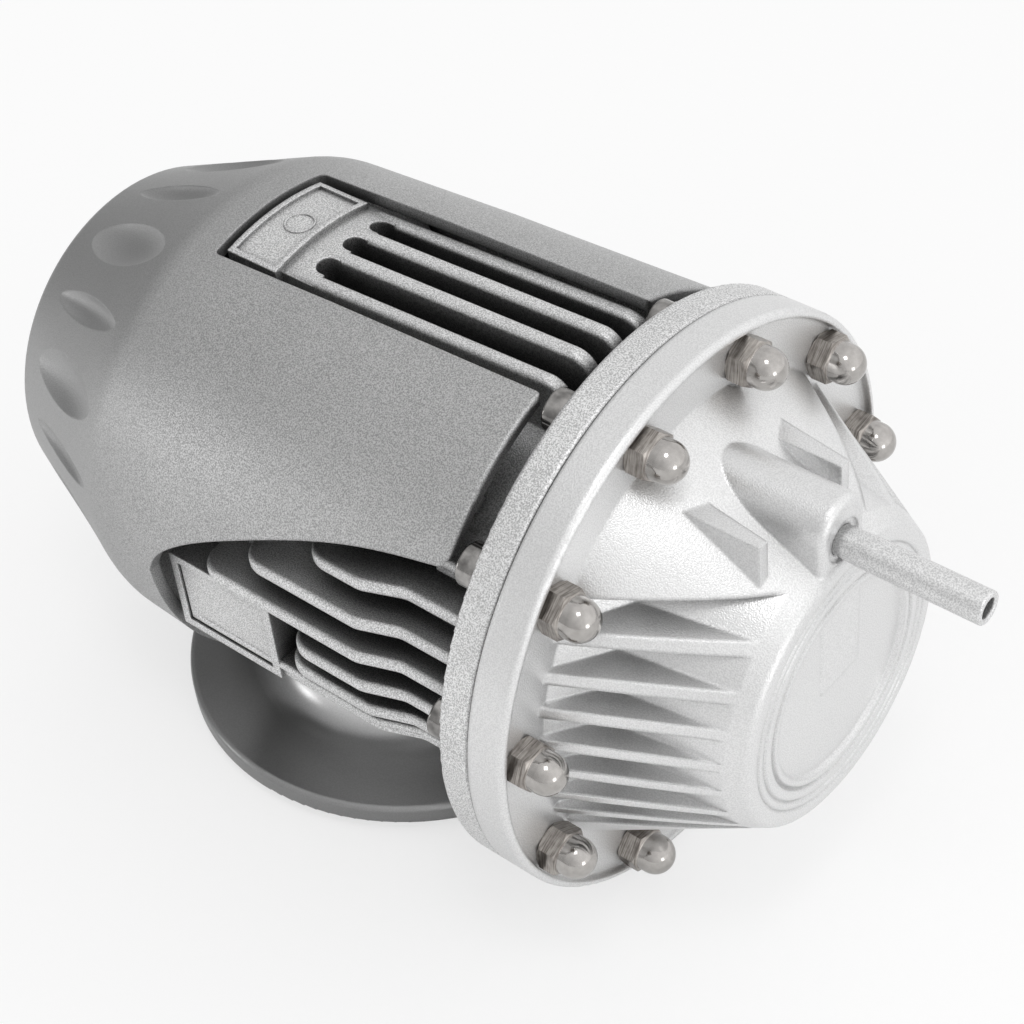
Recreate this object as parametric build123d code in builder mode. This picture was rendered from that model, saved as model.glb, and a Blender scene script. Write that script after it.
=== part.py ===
from build123d import *
from math import atan, cos, radians, sin, sqrt
import os

os.makedirs("parts", exist_ok=True)

# Millimetres. The inlet rises along Z from its lower face at the origin. The main axis runs along X above it.
# Stations along the main axis count from the split face between body and cap, and grow towards the cap.
inlet_to_rear = 31.6

# Clearances
snug = 0.05
running_fit = 0.05
seat_gap = 0.2
free_gap = 0.3

# Clamped joint of body and cap
flange_radius = 48.0
flange_overhang = 1.8
body_flange_thickness = 5.7
cap_flange_thickness = 5.0
flange_edge_round = 0.8
bolt_edge_distance = 5.6
bolt_angles = (16.3, 50.2, 84.3, 117.2, 153.2)

# Flange screws and cap nuts
screw_radius = 2.0
screw_length = 16.0
screw_head_radius = 3.5
screw_head_height = 4.0
hex_key_flats = 3.0
hex_key_depth = 2.0
nut_flats = 7.0
nut_hex_height = 3.6
nut_dome_radius = 3.25
nut_height = 8.0
nut_thread_depth = 5.7
nut_seat_radius = 4.4
nut_chamfer = 0.5
nut_turn_step = 23.0
screw_head_round = 0.4
screw_clearance = 0.25

# Cap
cap_rim_height = 1.2
cap_rim_width = 1.2
cap_rim_slope = 0.3
cap_edge_round = 1.0
cap_shelf_width = 9.5
cone_front_radius = 24.4
cone_front_round = 1.6
cap_height = 31.6
cap_ring_grooves = ((21.8, 0.7, 0.4), (20.3, 0.8, 0.5), (18.1, 0.9, 0.9))
cap_dish_radius = 16.8
cap_dish_depth = 0.9
cap_end_wall = 2.5
chamber_mouth_step = 14.0
chamber_mouth_depth = 2.6
chamber_shoulder = 9.0
chamber_shoulder_depth = 5.8
chamber_end_radius = 22.0
spring_pilot_radius = 9.5
spring_pilot_height = 2.0

# Nipple, its boss and the two fins beside it
nipple_height = 27.9
nipple_root_radius = 2.4
nipple_tip_radius = 2.6
nipple_taper_length = 5.0
nipple_bore_radius = 1.6
nipple_reach = 54.0
nipple_seat_depth = 10.0
nipple_edge_round = 0.35
nipple_collar_width = 1.2
nipple_collar_depth = 0.4
boss_radius = 5.4
boss_rise = 2.0
boss_front_inset = 0.6
boss_rear_station = 9.0
boss_edge_round = 1.2
cap_fin_sides = (-12.0, 8.0)
cap_fin_rear_station = 9.0
cap_fin_rear_thickness = 4.4
cap_fin_front_station = 25.2
cap_fin_front_thickness = 1.9
cap_fin_drop = 5.9

# Cooling pockets in each flank of the cap, between level ribs that fall a little to the front
rib_fall = 3.2
rib_thickness = 1.7
pocket_top = 25.2
pocket_ribs = (20.4, 14.6, 9.1, 3.3, -2.4, -8.4, -13.6, -18.9)
pocket_foot_step = 1.3
pocket_deep_station = 10.3
pocket_depth = 5.9
pocket_front_station = 28.4
pocket_overcut = 2.5

# Body casting
hub_step = 8.4
core_step = 1.0
core_wall = 4.0
hub_depth = 20.0
cup_step = 15.5
cup_depth = 12.4
partition_thickness = 4.0
bush_boss_radius = 8.5
bush_boss_length = 17.0
valve_seat_depth = 10.0
valve_seat_thickness = 2.4
valve_seat_lip = 0.8
body_length = 88.0
body_rear_radius = 28.5
rear_ring_length = 5.0
rim_to_bolts = 3.0
vent_circle_radius = 14.0
vent_radius = 1.5
vent_count = 3

# Side fins of the body: height above the main axis and rear end
fin_thickness = 2.4
fin_edge_round = 0.9
fin_round_limit = 0.4
side_fins = ((22.4, 38.0), (16.0, 40.0), (9.6, 52.5), (3.2, 62.0), (-3.2, 44.0), (-9.6, 46.5))
fin_gap = 0.1
fin_step = 2.4
fin_step_front = 21.0
fin_step_rear = 28.0
fin_end_round = 5.0
bottom_ledge_height = -12.7
bottom_ledge_thickness = 1.6
bottom_plate_height = -14.55
bottom_plate_thickness = 2.1
bottom_plate_rear = 70.4

# Pocket boss on each flank
pocket_boss_front = 48.5
pocket_boss_rear = 70.4
pocket_boss_top = 0.4
pocket_boss_inset = 2.0
pocket_boss_rim = 1.6
pocket_boss_recess = 4.0

# Top fins and the raised pad behind them
top_fin_pitch = 6.2
top_fin_count = 4
top_fin_thickness = 2.6
top_fin_shift = 1.2
top_fin_rear = 63.5
top_fin_front = 9.9
top_fin_rear_drop = 3.0
top_fin_front_drop = 2.1
top_fin_end_round = 4.0
deck_front = 59.0
slot_end = 61.8
slot_depth = 5.4
pad_rear_inset = 12.0
pad_length = 10.3
pad_half_width = 10.7
pad_drop = 0.3
pad_rim = 1.0
pad_recess = 0.5

# Inlet
inlet_flange_radius = 41.6
inlet_flange_thickness = 4.1
inlet_neck_radius = 24.0
inlet_bore_radius = 19.0
inlet_bore_depth = 14.0
inlet_passage_radius = 18.2
inlet_foot_round = 6.5
inlet_edge_round = 0.9
inlet_seal_radius = 27.0
inlet_seal_section = 0.95

# Shroud
shroud_front = 11.5
shroud_middle = 52.0
shoulder_inset = 4.0
outlet_reach = 26.5
shroud_step = 3.0
shroud_middle_drop = 1.5
shroud_shoulder_drop = 1.7
shroud_rim_width = 3.5
shroud_wall = 2.2
shroud_end_wall = 3.3
shroud_rim_round = 2.5
shroud_shoulder_round = 14.0
shroud_bore_radius = 25.2
shroud_land_thickness = 2.0
shroud_land_depth = 2.0
shroud_edge_round = 0.7
window_gap = 1.8
window_corner_round = 0.8
window_rear = 77.0
neck_notch_clearance = 1.5
wing_corner_round = 2.0
wing_corner_height = 27.4
opening_edge = ((17.0, 26.4), (28.6, 23.8), (48.5, 16.2), (66.4, 5.6), (72.0, -2.0))
scoop_count = 18
scoop_first_angle = 91.3
scoop_station = 97.6
scoop_half_length = 10.8
large_scoop_half_width = 4.6
large_scoop_depth = 1.8
small_scoop_half_width = 2.4
small_scoop_depth = 1.4

# Outlet nozzle
nozzle_thread_step = 4.0
nozzle_collar_width = 3.0
nozzle_collar_length = 2.5
nozzle_neck_wall = 2.6
nozzle_mouth_radius = 23.4
nozzle_flare_length = 16.0
nozzle_lip_radius = 26.4

# Diaphragm stack at rest
diaphragm_thickness = 1.2
plate_thickness = 2.0
front_plate_margin = 10.5
rear_plate_step = 2.0
diaphragm_drop = 8.8
plate_clearance = 0.6
plate_edge_round = 0.5

# Spindle and what it carries
spindle_radius = 3.0
spindle_thread_radius = 2.5
spindle_stick_out = 1.2
stem_nut_flats = 8.0
stem_nut_height = 3.2
valve_travel = 10.0
secondary_share = 0.6
bush_outer_radius = 5.0
shaft_seal_radius = 6.0
shaft_seal_length = 2.5

# Valves
secondary_clearance = 4.0
secondary_thickness = 4.0
secondary_hub_radius = 6.6
secondary_hub_length = 6.3
port_circle_radius = 11.2
port_radius = 2.4
port_count = 6
seal_edge = 1.0
seal_width = 3.2
seal_thickness = 1.4
seal_proud = 0.2
primary_radius = 15.6
primary_thickness = 2.6
primary_hub_radius = 5.5
primary_hub_length = 4.0
primary_seal_inner_radius = 7.4
primary_seal_outer_radius = 15.0
primary_seal_thickness = 1.2
stop_washer_radius = 6.2
stop_washer_thickness = 1.2

# Springs
main_spring_radius = 12.5
main_spring_wire = 0.95
main_spring_turns = 5
secondary_spring_radius = 20.0
secondary_spring_wire = 0.95
secondary_spring_turns = 7

# Sizes that follow from the ones above
axis_height = flange_radius - flange_overhang
inlet_to_split = body_length - inlet_to_rear
bolt_circle_radius = flange_radius - bolt_edge_distance
cone_foot_radius = flange_radius - cap_shelf_width
chamber_mouth_radius = flange_radius - chamber_mouth_step
chamber_radius = chamber_mouth_radius - chamber_shoulder
cap_fin_height = cone_foot_radius - cap_fin_drop
boss_height = nipple_height + boss_rise
boss_front_station = cap_height - boss_front_inset
hub_radius = bolt_circle_radius - hub_step
core_radius = hub_radius - core_step
air_chamber_radius = core_radius - core_wall
cup_radius = flange_radius - cup_step
front_plate_radius = cup_radius - front_plate_margin
rear_plate_radius = front_plate_radius - rear_plate_step
diaphragm_recess_radius = bolt_circle_radius - rim_to_bolts
shroud_shoulder = body_length - shoulder_inset
shroud_end = body_length + outlet_reach
shroud_front_radius = flange_radius - shroud_step
shroud_middle_radius = shroud_front_radius - shroud_middle_drop
shroud_shoulder_radius = shroud_middle_radius - shroud_shoulder_drop
shroud_end_radius = nozzle_lip_radius + shroud_rim_width
fin_high_radius = shroud_middle_radius - shroud_wall - fin_gap
fin_low_radius = fin_high_radius - fin_step
pocket_boss_face = fin_high_radius - pocket_boss_inset
top_fin_rear_radius = shroud_middle_radius - top_fin_rear_drop
top_fin_front_radius = shroud_front_radius - top_fin_front_drop
pad_height = shroud_shoulder_radius - pad_drop
pad_rear = body_length - pad_rear_inset
pad_front = pad_rear - pad_length
window_half_width = pad_half_width + window_gap
rear_ring_front = shroud_shoulder - rear_ring_length
valve_seat_station = body_length - valve_seat_depth
secondary_radius = air_chamber_radius - secondary_clearance
seal_outer_radius = secondary_radius - seal_edge
seal_inner_radius = seal_outer_radius - seal_width
valve_seat_bore = seal_inner_radius - valve_seat_lip
nozzle_thread_radius = valve_seat_bore + nozzle_thread_step
nozzle_collar_radius = nozzle_thread_radius + nozzle_collar_width
nozzle_neck_radius = valve_seat_bore + nozzle_neck_wall
partition_rear = cup_depth + partition_thickness
bush_boss_rear = partition_rear + bush_boss_length
diaphragm_rear = diaphragm_drop + diaphragm_thickness
spindle_shoulder = diaphragm_rear + plate_thickness
front_plate_face = diaphragm_drop - plate_thickness
secondary_rear = valve_seat_station - free_gap
secondary_front = secondary_rear - secondary_thickness
secondary_hub_rear = secondary_rear + secondary_hub_length
lost_motion = valve_travel * (1 - secondary_share)
primary_seal_rear = secondary_front - seat_gap
primary_rear = primary_seal_rear - primary_seal_thickness
primary_front = primary_rear - primary_thickness
stop_washer_front = secondary_hub_rear + lost_motion + seat_gap
stop_washer_rear = stop_washer_front + stop_washer_thickness
stop_nut_rear = stop_washer_rear + stem_nut_height
chamber_depth = cap_height - cap_dish_depth - cap_end_wall
cap_face_station = cap_height - cap_dish_depth
nozzle_front = valve_seat_station + valve_seat_thickness
bush_rear = bush_boss_rear - shaft_seal_length
rear_ring_radius = shroud_shoulder_radius - shroud_wall - seat_gap
shroud_land_room = shroud_land_depth + shroud_land_thickness
shroud_land_front = shroud_end - shroud_land_room
cone_slope = (shroud_shoulder_radius - shroud_end_radius) / (shroud_end - shroud_shoulder)

# The lengthwise plane holds profiles as station and height above the main axis
main_axis = Axis((inlet_to_split, 0, axis_height), (1, 0, 0))
lengthwise = Plane(origin=(inlet_to_split, 0, axis_height), x_dir=(1, 0, 0), z_dir=(0, -1, 0))


def across(station):
    # A plane across the main axis, facing the cap end, with Y to its right and Z up
    return Plane(origin=(inlet_to_split + station, 0, axis_height), x_dir=(0, 1, 0), z_dir=(1, 0, 0))


def bolt_places():
    # Points of the bolt circle in a plane across the main axis, mirrored about the upright centre plane
    places = []
    for side in (1, -1):
        for angle in bolt_angles:
            across_part = side * bolt_circle_radius * sin(radians(angle))
            up = bolt_circle_radius * cos(radians(angle))
            places.append((across_part, up))
    return places


def cone_radius_at(station):
    slope = (cone_foot_radius - cone_front_radius) / (cap_height - cap_flange_thickness)
    return cone_foot_radius - slope * (station - cap_flange_thickness)


def export(piece, name):
    piece.part.label = name
    export_step(piece.part, f"parts/{name}.step")


def turned(name, *profiles):
    # A piece turned about the main axis from closed profiles of station and radius
    with BuildPart() as piece:
        with BuildSketch(lengthwise):
            for profile in profiles:
                with BuildLine():
                    Polyline(*profile, close=True)
                make_face()
        revolve(axis=main_axis)
    export(piece, name)


def washer(name, outer, inner, front, rear, edge_round=0.0):
    # A flat turned ring between two distances behind the split face
    with BuildPart() as piece:
        with BuildSketch(across(-rear)):
            Circle(outer)
            Circle(inner, mode=Mode.SUBTRACT)
        extrude(amount=rear - front)
        if edge_round:
            rims = piece.edges().filter_by(GeomType.CIRCLE).filter_by(lambda e: e.radius > outer - snug)
            fillet(rims, edge_round)
    export(piece, name)


def flank_plate(height, thickness, rear):
    # One level fin of the body on the +Y flank and its mirror, cut off at the step in the fins' outline
    low = sqrt(fin_low_radius**2 - height**2)
    high = sqrt(fin_high_radius**2 - height**2)
    level = Plane(origin=(inlet_to_split, 0, axis_height + height - thickness / 2))
    with BuildPart() as plate:
        with BuildSketch(level):
            with BuildLine():
                Polyline(
                    (-body_flange_thickness, 0),
                    (-body_flange_thickness, low),
                    (-fin_step_front, low),
                    (-fin_step_rear, high),
                    (-rear, high),
                    (-rear, 0),
                    close=True,
                )
            make_face()
            fillet(vertices().group_by(Axis.X)[0].sort_by(Axis.Y)[-1], fin_end_round)
            outline = vertices().filter_by(lambda v: v.Y > low - 1)
            bends = outline.filter_by(lambda v: -fin_step_rear - 0.1 < v.X < -fin_step_front + 0.1)
            fillet(bends, fin_end_round)
        extrude(amount=thickness)
        rims = plate.edges().filter_by(lambda e: e.bounding_box().size.Z < 0.01 and e.center().Y > low / 3)
        rims = rims.filter_by(lambda e: e.center().X < level.origin.X - body_flange_thickness - 0.1)
        fillet(rims, min(fin_edge_round, thickness * fin_round_limit))
        mirror(about=Plane.XZ)
    return plate.part


def top_plate(offset):
    # One upright fin on top of the body, as high as its place on the round, with front and crest rounded
    rear_height = sqrt(top_fin_rear_radius**2 - offset**2)
    front_height = sqrt(top_fin_front_radius**2 - offset**2)
    with BuildPart() as plate:
        with BuildSketch(lengthwise.offset(-offset - top_fin_thickness / 2)):
            with BuildLine():
                Polyline(
                    (-top_fin_rear, core_radius / 2),
                    (-top_fin_rear, rear_height),
                    (-top_fin_front, front_height),
                    (-top_fin_front, core_radius / 2),
                    close=True,
                )
            make_face()
            fillet(vertices().group_by(Axis.X)[-1].sort_by(Axis.Y)[-1], top_fin_end_round)
        extrude(amount=top_fin_thickness)
        crest = plate.edges().filter_by(
            lambda e: e.bounding_box().size.Y < 0.01 and e.center().Z > axis_height + core_radius / 2 + 1
        )
        fillet(crest, fin_edge_round)
    return plate.part


def pad_block():
    # The raised pad behind the top fins, with a shallow framed recess
    with BuildPart() as pad:
        with BuildSketch(lengthwise):
            with BuildLine():
                Polyline(
                    (-pad_rear, core_radius / 2),
                    (-pad_rear, flange_radius),
                    (-pad_front, flange_radius),
                    (-pad_front, core_radius / 2),
                    close=True,
                )
            make_face()
        extrude(amount=pad_half_width, both=True)
        with BuildSketch(across(-pad_rear)):
            Circle(pad_height)
        extrude(amount=pad_rear, mode=Mode.INTERSECT)
        with BuildSketch(across(-pad_rear + pad_rim)):
            with Locations((0, flange_radius - flange_radius / 4)):
                Rectangle(2 * (pad_half_width - pad_rim), flange_radius / 2)
            Circle(pad_height - pad_recess, mode=Mode.SUBTRACT)
        extrude(amount=pad_rear - pad_front - 2 * pad_rim, mode=Mode.SUBTRACT)
    return pad.part


def deck_block():
    # The deck that joins the rear ends of the top fins, with a round-ended slot between each two
    slot_width = top_fin_pitch - top_fin_thickness
    slot_length = 2 * (slot_end - deck_front) + slot_width
    half_width = (top_fin_count - 1) * top_fin_pitch / 2 + top_fin_thickness / 2
    with BuildPart() as deck:
        with BuildSketch(across(-pad_front - pad_rim)):
            with Locations((top_fin_shift, top_fin_rear_radius - slot_depth)):
                Rectangle(2 * half_width, 2 * slot_depth)
            Circle(top_fin_rear_radius, mode=Mode.INTERSECT)
        extrude(amount=pad_front + pad_rim - deck_front)
        with BuildSketch(Plane(origin=(inlet_to_split, 0, axis_height + top_fin_rear_radius - slot_depth))):
            for count in range(top_fin_count - 1):
                side = top_fin_shift + (count + 1 - top_fin_count / 2) * top_fin_pitch
                with Locations((slot_length / 2 - slot_end, side)):
                    SlotOverall(slot_length, slot_width)
        extrude(amount=2 * slot_depth, mode=Mode.SUBTRACT)
    return deck.part


def pocket_boss():
    # The framed pocket on the +Y flank, standing on the bottom plate, and its mirror
    floor = bottom_plate_height - bottom_plate_thickness / 2
    length = pocket_boss_rear - pocket_boss_front
    with BuildPart() as boss:
        with BuildSketch(across(-pocket_boss_rear)):
            with Locations((pocket_boss_face / 2, (floor + pocket_boss_top) / 2)):
                Rectangle(pocket_boss_face, pocket_boss_top - floor)
        extrude(amount=length)
        with BuildSketch(across(-pocket_boss_rear + pocket_boss_rim)):
            with Locations((pocket_boss_face, (floor + pocket_boss_top) / 2)):
                Rectangle(2 * pocket_boss_recess, pocket_boss_top - floor - 2 * pocket_boss_rim)
        extrude(amount=length - 2 * pocket_boss_rim, mode=Mode.SUBTRACT)
        mirror(about=Plane.XZ)
    return boss.part


# Valve body: flange, hub, core and rear ring, with the inlet, the fins and everything bored out of it
with BuildPart() as valve_body:
    with BuildSketch(lengthwise):
        with BuildLine():
            Polyline(
                (0, 0),
                (0, flange_radius),
                (-body_flange_thickness, flange_radius),
                (-body_flange_thickness, hub_radius),
                (-hub_depth, hub_radius),
                (-hub_depth - (hub_radius - core_radius), core_radius),
                (-rear_ring_front, core_radius),
                (-rear_ring_front, rear_ring_radius),
                (-shroud_shoulder, rear_ring_radius),
                (-shroud_shoulder, body_rear_radius),
                (-body_length, body_rear_radius),
                (-body_length, 0),
                close=True,
            )
        make_face()
        fillet(vertices().filter_by(lambda v: v.Y > flange_radius - 0.01), flange_edge_round)
    revolve(axis=main_axis)
    with BuildSketch(Plane.XZ):
        with BuildLine():
            Polyline(
                (0, 0),
                (inlet_flange_radius, 0),
                (inlet_flange_radius, inlet_flange_thickness),
                (inlet_neck_radius, inlet_flange_thickness),
                (inlet_neck_radius, axis_height),
                (0, axis_height),
                close=True,
            )
        make_face()
        fillet(vertices().filter_by(lambda v: v.X > inlet_flange_radius - 0.01), inlet_edge_round)
        foot = vertices().filter_by(lambda v: abs(v.X - inlet_neck_radius) < 0.01 and v.Y < axis_height / 2)
        fillet(foot, inlet_foot_round)
    revolve(axis=Axis.Z)
    for height, rear in side_fins:
        add(flank_plate(height, fin_thickness, rear))
    add(flank_plate(bottom_ledge_height, bottom_ledge_thickness, bottom_plate_rear))
    add(flank_plate(bottom_plate_height, bottom_plate_thickness, bottom_plate_rear))
    add(pocket_boss())
    add(pad_block())
    add(deck_block())
    for count in range(top_fin_count):
        add(top_plate(top_fin_shift + (count - (top_fin_count - 1) / 2) * top_fin_pitch))

    # Diaphragm cup with its rim recess, the bush bore through the partition, and the air chamber behind it
    with BuildSketch(lengthwise):
        with BuildLine():
            Polyline(
                (0, 0),
                (0, diaphragm_recess_radius),
                (-diaphragm_thickness, diaphragm_recess_radius),
                (-diaphragm_thickness, cup_radius),
                (-cup_depth, cup_radius),
                (-cup_depth, bush_outer_radius),
                (-bush_boss_rear + shaft_seal_length, bush_outer_radius),
                (-bush_boss_rear + shaft_seal_length, shaft_seal_radius),
                (-bush_boss_rear, shaft_seal_radius),
                (-bush_boss_rear, 0),
                close=True,
            )
        make_face()
        with BuildLine():
            Polyline(
                (-partition_rear, bush_boss_radius),
                (-partition_rear, air_chamber_radius),
                (-valve_seat_station, air_chamber_radius),
                (-valve_seat_station, valve_seat_bore),
                (-nozzle_front, valve_seat_bore),
                (-nozzle_front, nozzle_thread_radius),
                (-body_length, nozzle_thread_radius),
                (-body_length, 0),
                (-bush_boss_rear, 0),
                (-bush_boss_rear, bush_boss_radius),
                close=True,
            )
        make_face()
    revolve(axis=main_axis, mode=Mode.SUBTRACT)
    with BuildSketch(across(-partition_rear)):
        with PolarLocations(vent_circle_radius, vent_count):
            Circle(vent_radius)
    extrude(amount=partition_thickness, mode=Mode.SUBTRACT)

    # Inlet bore, its seal groove, and the screw holes with room for the screw heads
    with BuildSketch():
        Circle(inlet_bore_radius)
    extrude(amount=inlet_bore_depth, mode=Mode.SUBTRACT)
    with BuildSketch():
        Circle(inlet_passage_radius)
    extrude(amount=axis_height, mode=Mode.SUBTRACT)
    with BuildSketch():
        Circle(inlet_seal_radius + inlet_seal_section + snug)
        Circle(inlet_seal_radius - inlet_seal_section - snug, mode=Mode.SUBTRACT)
    extrude(amount=2 * inlet_seal_section, mode=Mode.SUBTRACT)
    with BuildSketch(across(-body_flange_thickness)):
        with Locations(*bolt_places()):
            Circle(screw_radius + screw_clearance)
    extrude(amount=body_flange_thickness, mode=Mode.SUBTRACT)
    with BuildSketch(across(-body_flange_thickness)):
        with Locations(*bolt_places()):
            Circle(screw_head_radius + free_gap)
    extrude(amount=-screw_head_height, mode=Mode.SUBTRACT)
export(valve_body, "valve_body")


# Pockets of the cap: slabs between the ribs, kept to a ring that is deepest near the flange
with BuildPart() as cap_pockets:
    fall = radians(rib_fall)
    for number, height in enumerate(pocket_ribs):
        above = pocket_top if number == 0 else pocket_ribs[number - 1] - rib_thickness / 2
        floor = height + rib_thickness / 2
        corner = (inlet_to_split + pocket_deep_station, 0, axis_height + floor)
        rib_plane = Plane(origin=corner, x_dir=(cos(fall), 0, -sin(fall)), z_dir=(sin(fall), 0, cos(fall)))
        with BuildSketch(rib_plane):
            Rectangle(2 * cap_height, 2 * flange_radius)
        extrude(amount=(above - floor) * cos(fall))
    pocket_front_radius = cone_radius_at(pocket_front_station)
    with BuildSketch(lengthwise):
        with BuildLine():
            Polyline(
                (cap_flange_thickness, cone_foot_radius - pocket_foot_step),
                (pocket_deep_station, cone_radius_at(pocket_deep_station) - pocket_depth),
                (pocket_front_station, pocket_front_radius),
                (pocket_front_station + pocket_overcut, pocket_front_radius + pocket_overcut),
                (cap_flange_thickness, cone_foot_radius + pocket_overcut),
                close=True,
            )
        make_face()
    revolve(axis=main_axis, mode=Mode.INTERSECT)

# Room around each cap nut, cut from the cone and kept off the rim
with BuildPart() as nut_room:
    with BuildSketch(across(cap_flange_thickness)):
        with Locations(*bolt_places()):
            Circle(nut_seat_radius)
    extrude(amount=cap_height)
    with BuildSketch(across(cap_flange_thickness)):
        Circle(flange_radius - cap_rim_width - cap_rim_slope)
    extrude(amount=cap_height, mode=Mode.INTERSECT)

# Boss of the nipple: an upright block with a round top and a softened front
with BuildPart() as nipple_boss:
    with BuildSketch(across(boss_rear_station)):
        with Locations((0, boss_height)):
            Circle(boss_radius)
        with Locations((0, boss_height / 2)):
            Rectangle(2 * boss_radius, boss_height)
    extrude(amount=boss_front_station - boss_rear_station)
    front_edges = nipple_boss.faces().sort_by(Axis.X)[-1].edges()
    fillet(front_edges.filter_by(lambda e: e.center().Z > axis_height + boss_height / 4), boss_edge_round)

# Cap: flange, cone and ringed front turned about the main axis, with ribs, fins, boss and chamber
with BuildPart() as diaphragm_cap:
    rings = []
    for radius, width, depth in cap_ring_grooves:
        rings.append((cap_height, radius + width / 2))
        rings.append((cap_height - depth, radius))
        rings.append((cap_height, radius - width / 2))
    with BuildSketch(lengthwise):
        with BuildLine():
            Polyline(
                (0, 0),
                (0, flange_radius),
                (cap_flange_thickness + cap_rim_height, flange_radius),
                (cap_flange_thickness + cap_rim_height, flange_radius - cap_rim_width),
                (cap_flange_thickness, flange_radius - cap_rim_width - cap_rim_slope),
                (cap_flange_thickness, cone_foot_radius),
                (cap_height, cone_front_radius),
                *rings,
                (cap_height, cap_dish_radius),
                (cap_face_station, cap_dish_radius - cap_dish_depth / 2),
                (cap_face_station, 0),
                close=True,
            )
        make_face()
        rim = vertices().filter_by(lambda v: v.Y > flange_radius - 0.01 and v.X > cap_flange_thickness)
        fillet(rim, cap_edge_round)
        front_corner = vertices().filter_by(lambda v: abs(v.Y - cone_front_radius) < 0.01)
        fillet(front_corner, cone_front_round)
    revolve(axis=main_axis)
    add(cap_pockets.part, mode=Mode.SUBTRACT)
    with BuildSketch(Plane(origin=(inlet_to_split, 0, axis_height + chamber_end_radius))):
        for side in cap_fin_sides:
            with BuildLine():
                Polyline(
                    (cap_fin_rear_station, side),
                    (cap_fin_front_station, side),
                    (cap_fin_front_station, side + cap_fin_front_thickness),
                    (cap_fin_rear_station, side + cap_fin_rear_thickness),
                    close=True,
                )
            make_face()
    extrude(amount=cap_fin_height - chamber_end_radius)
    add(nipple_boss.part)
    add(nut_room.part, mode=Mode.SUBTRACT)
    with BuildSketch(lengthwise):
        with BuildLine():
            Polyline(
                (0, 0),
                (0, chamber_mouth_radius),
                (chamber_mouth_depth, chamber_mouth_radius),
                (chamber_shoulder_depth, chamber_radius),
                (chamber_depth, chamber_end_radius),
                (chamber_depth, spring_pilot_radius),
                (chamber_depth - spring_pilot_height, spring_pilot_radius),
                (chamber_depth - spring_pilot_height, 0),
                close=True,
            )
        make_face()
    revolve(axis=main_axis, mode=Mode.SUBTRACT)
    with BuildSketch(across(0)):
        with Locations(*bolt_places()):
            Circle(screw_radius + screw_clearance)
    extrude(amount=cap_flange_thickness, mode=Mode.SUBTRACT)
    with BuildSketch(across(0)):
        with Locations((0, nipple_height)):
            Circle(nipple_bore_radius)
    extrude(amount=boss_front_station, mode=Mode.SUBTRACT)
    with BuildSketch(across(boss_front_station - nipple_seat_depth)):
        with Locations((0, nipple_height)):
            Circle(nipple_root_radius + snug)
    extrude(amount=nipple_seat_depth, mode=Mode.SUBTRACT)
    with BuildSketch(across(boss_front_station - nipple_collar_depth)):
        with Locations((0, nipple_height)):
            Circle(nipple_root_radius + nipple_collar_width)
    extrude(amount=nipple_collar_depth, mode=Mode.SUBTRACT)
export(diaphragm_cap, "diaphragm_cap")

# Nipple: a slim tube that widens a little to its open end
nipple_axis = Axis((inlet_to_split, 0, axis_height + nipple_height), (1, 0, 0))
with BuildPart() as vacuum_nipple:
    with BuildSketch(lengthwise):
        with BuildLine():
            Polyline(
                (boss_front_station - nipple_seat_depth, nipple_height + nipple_bore_radius),
                (boss_front_station - nipple_seat_depth, nipple_height + nipple_root_radius),
                (boss_front_station, nipple_height + nipple_root_radius),
                (boss_front_station + nipple_taper_length, nipple_height + nipple_tip_radius),
                (nipple_reach, nipple_height + nipple_tip_radius),
                (nipple_reach, nipple_height + nipple_bore_radius),
                close=True,
            )
        make_face()
        tip = vertices().filter_by(lambda v: v.X > nipple_reach - 0.01)
        fillet(tip, nipple_edge_round)
    revolve(axis=nipple_axis)
export(vacuum_nipple, "vacuum_nipple")

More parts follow.
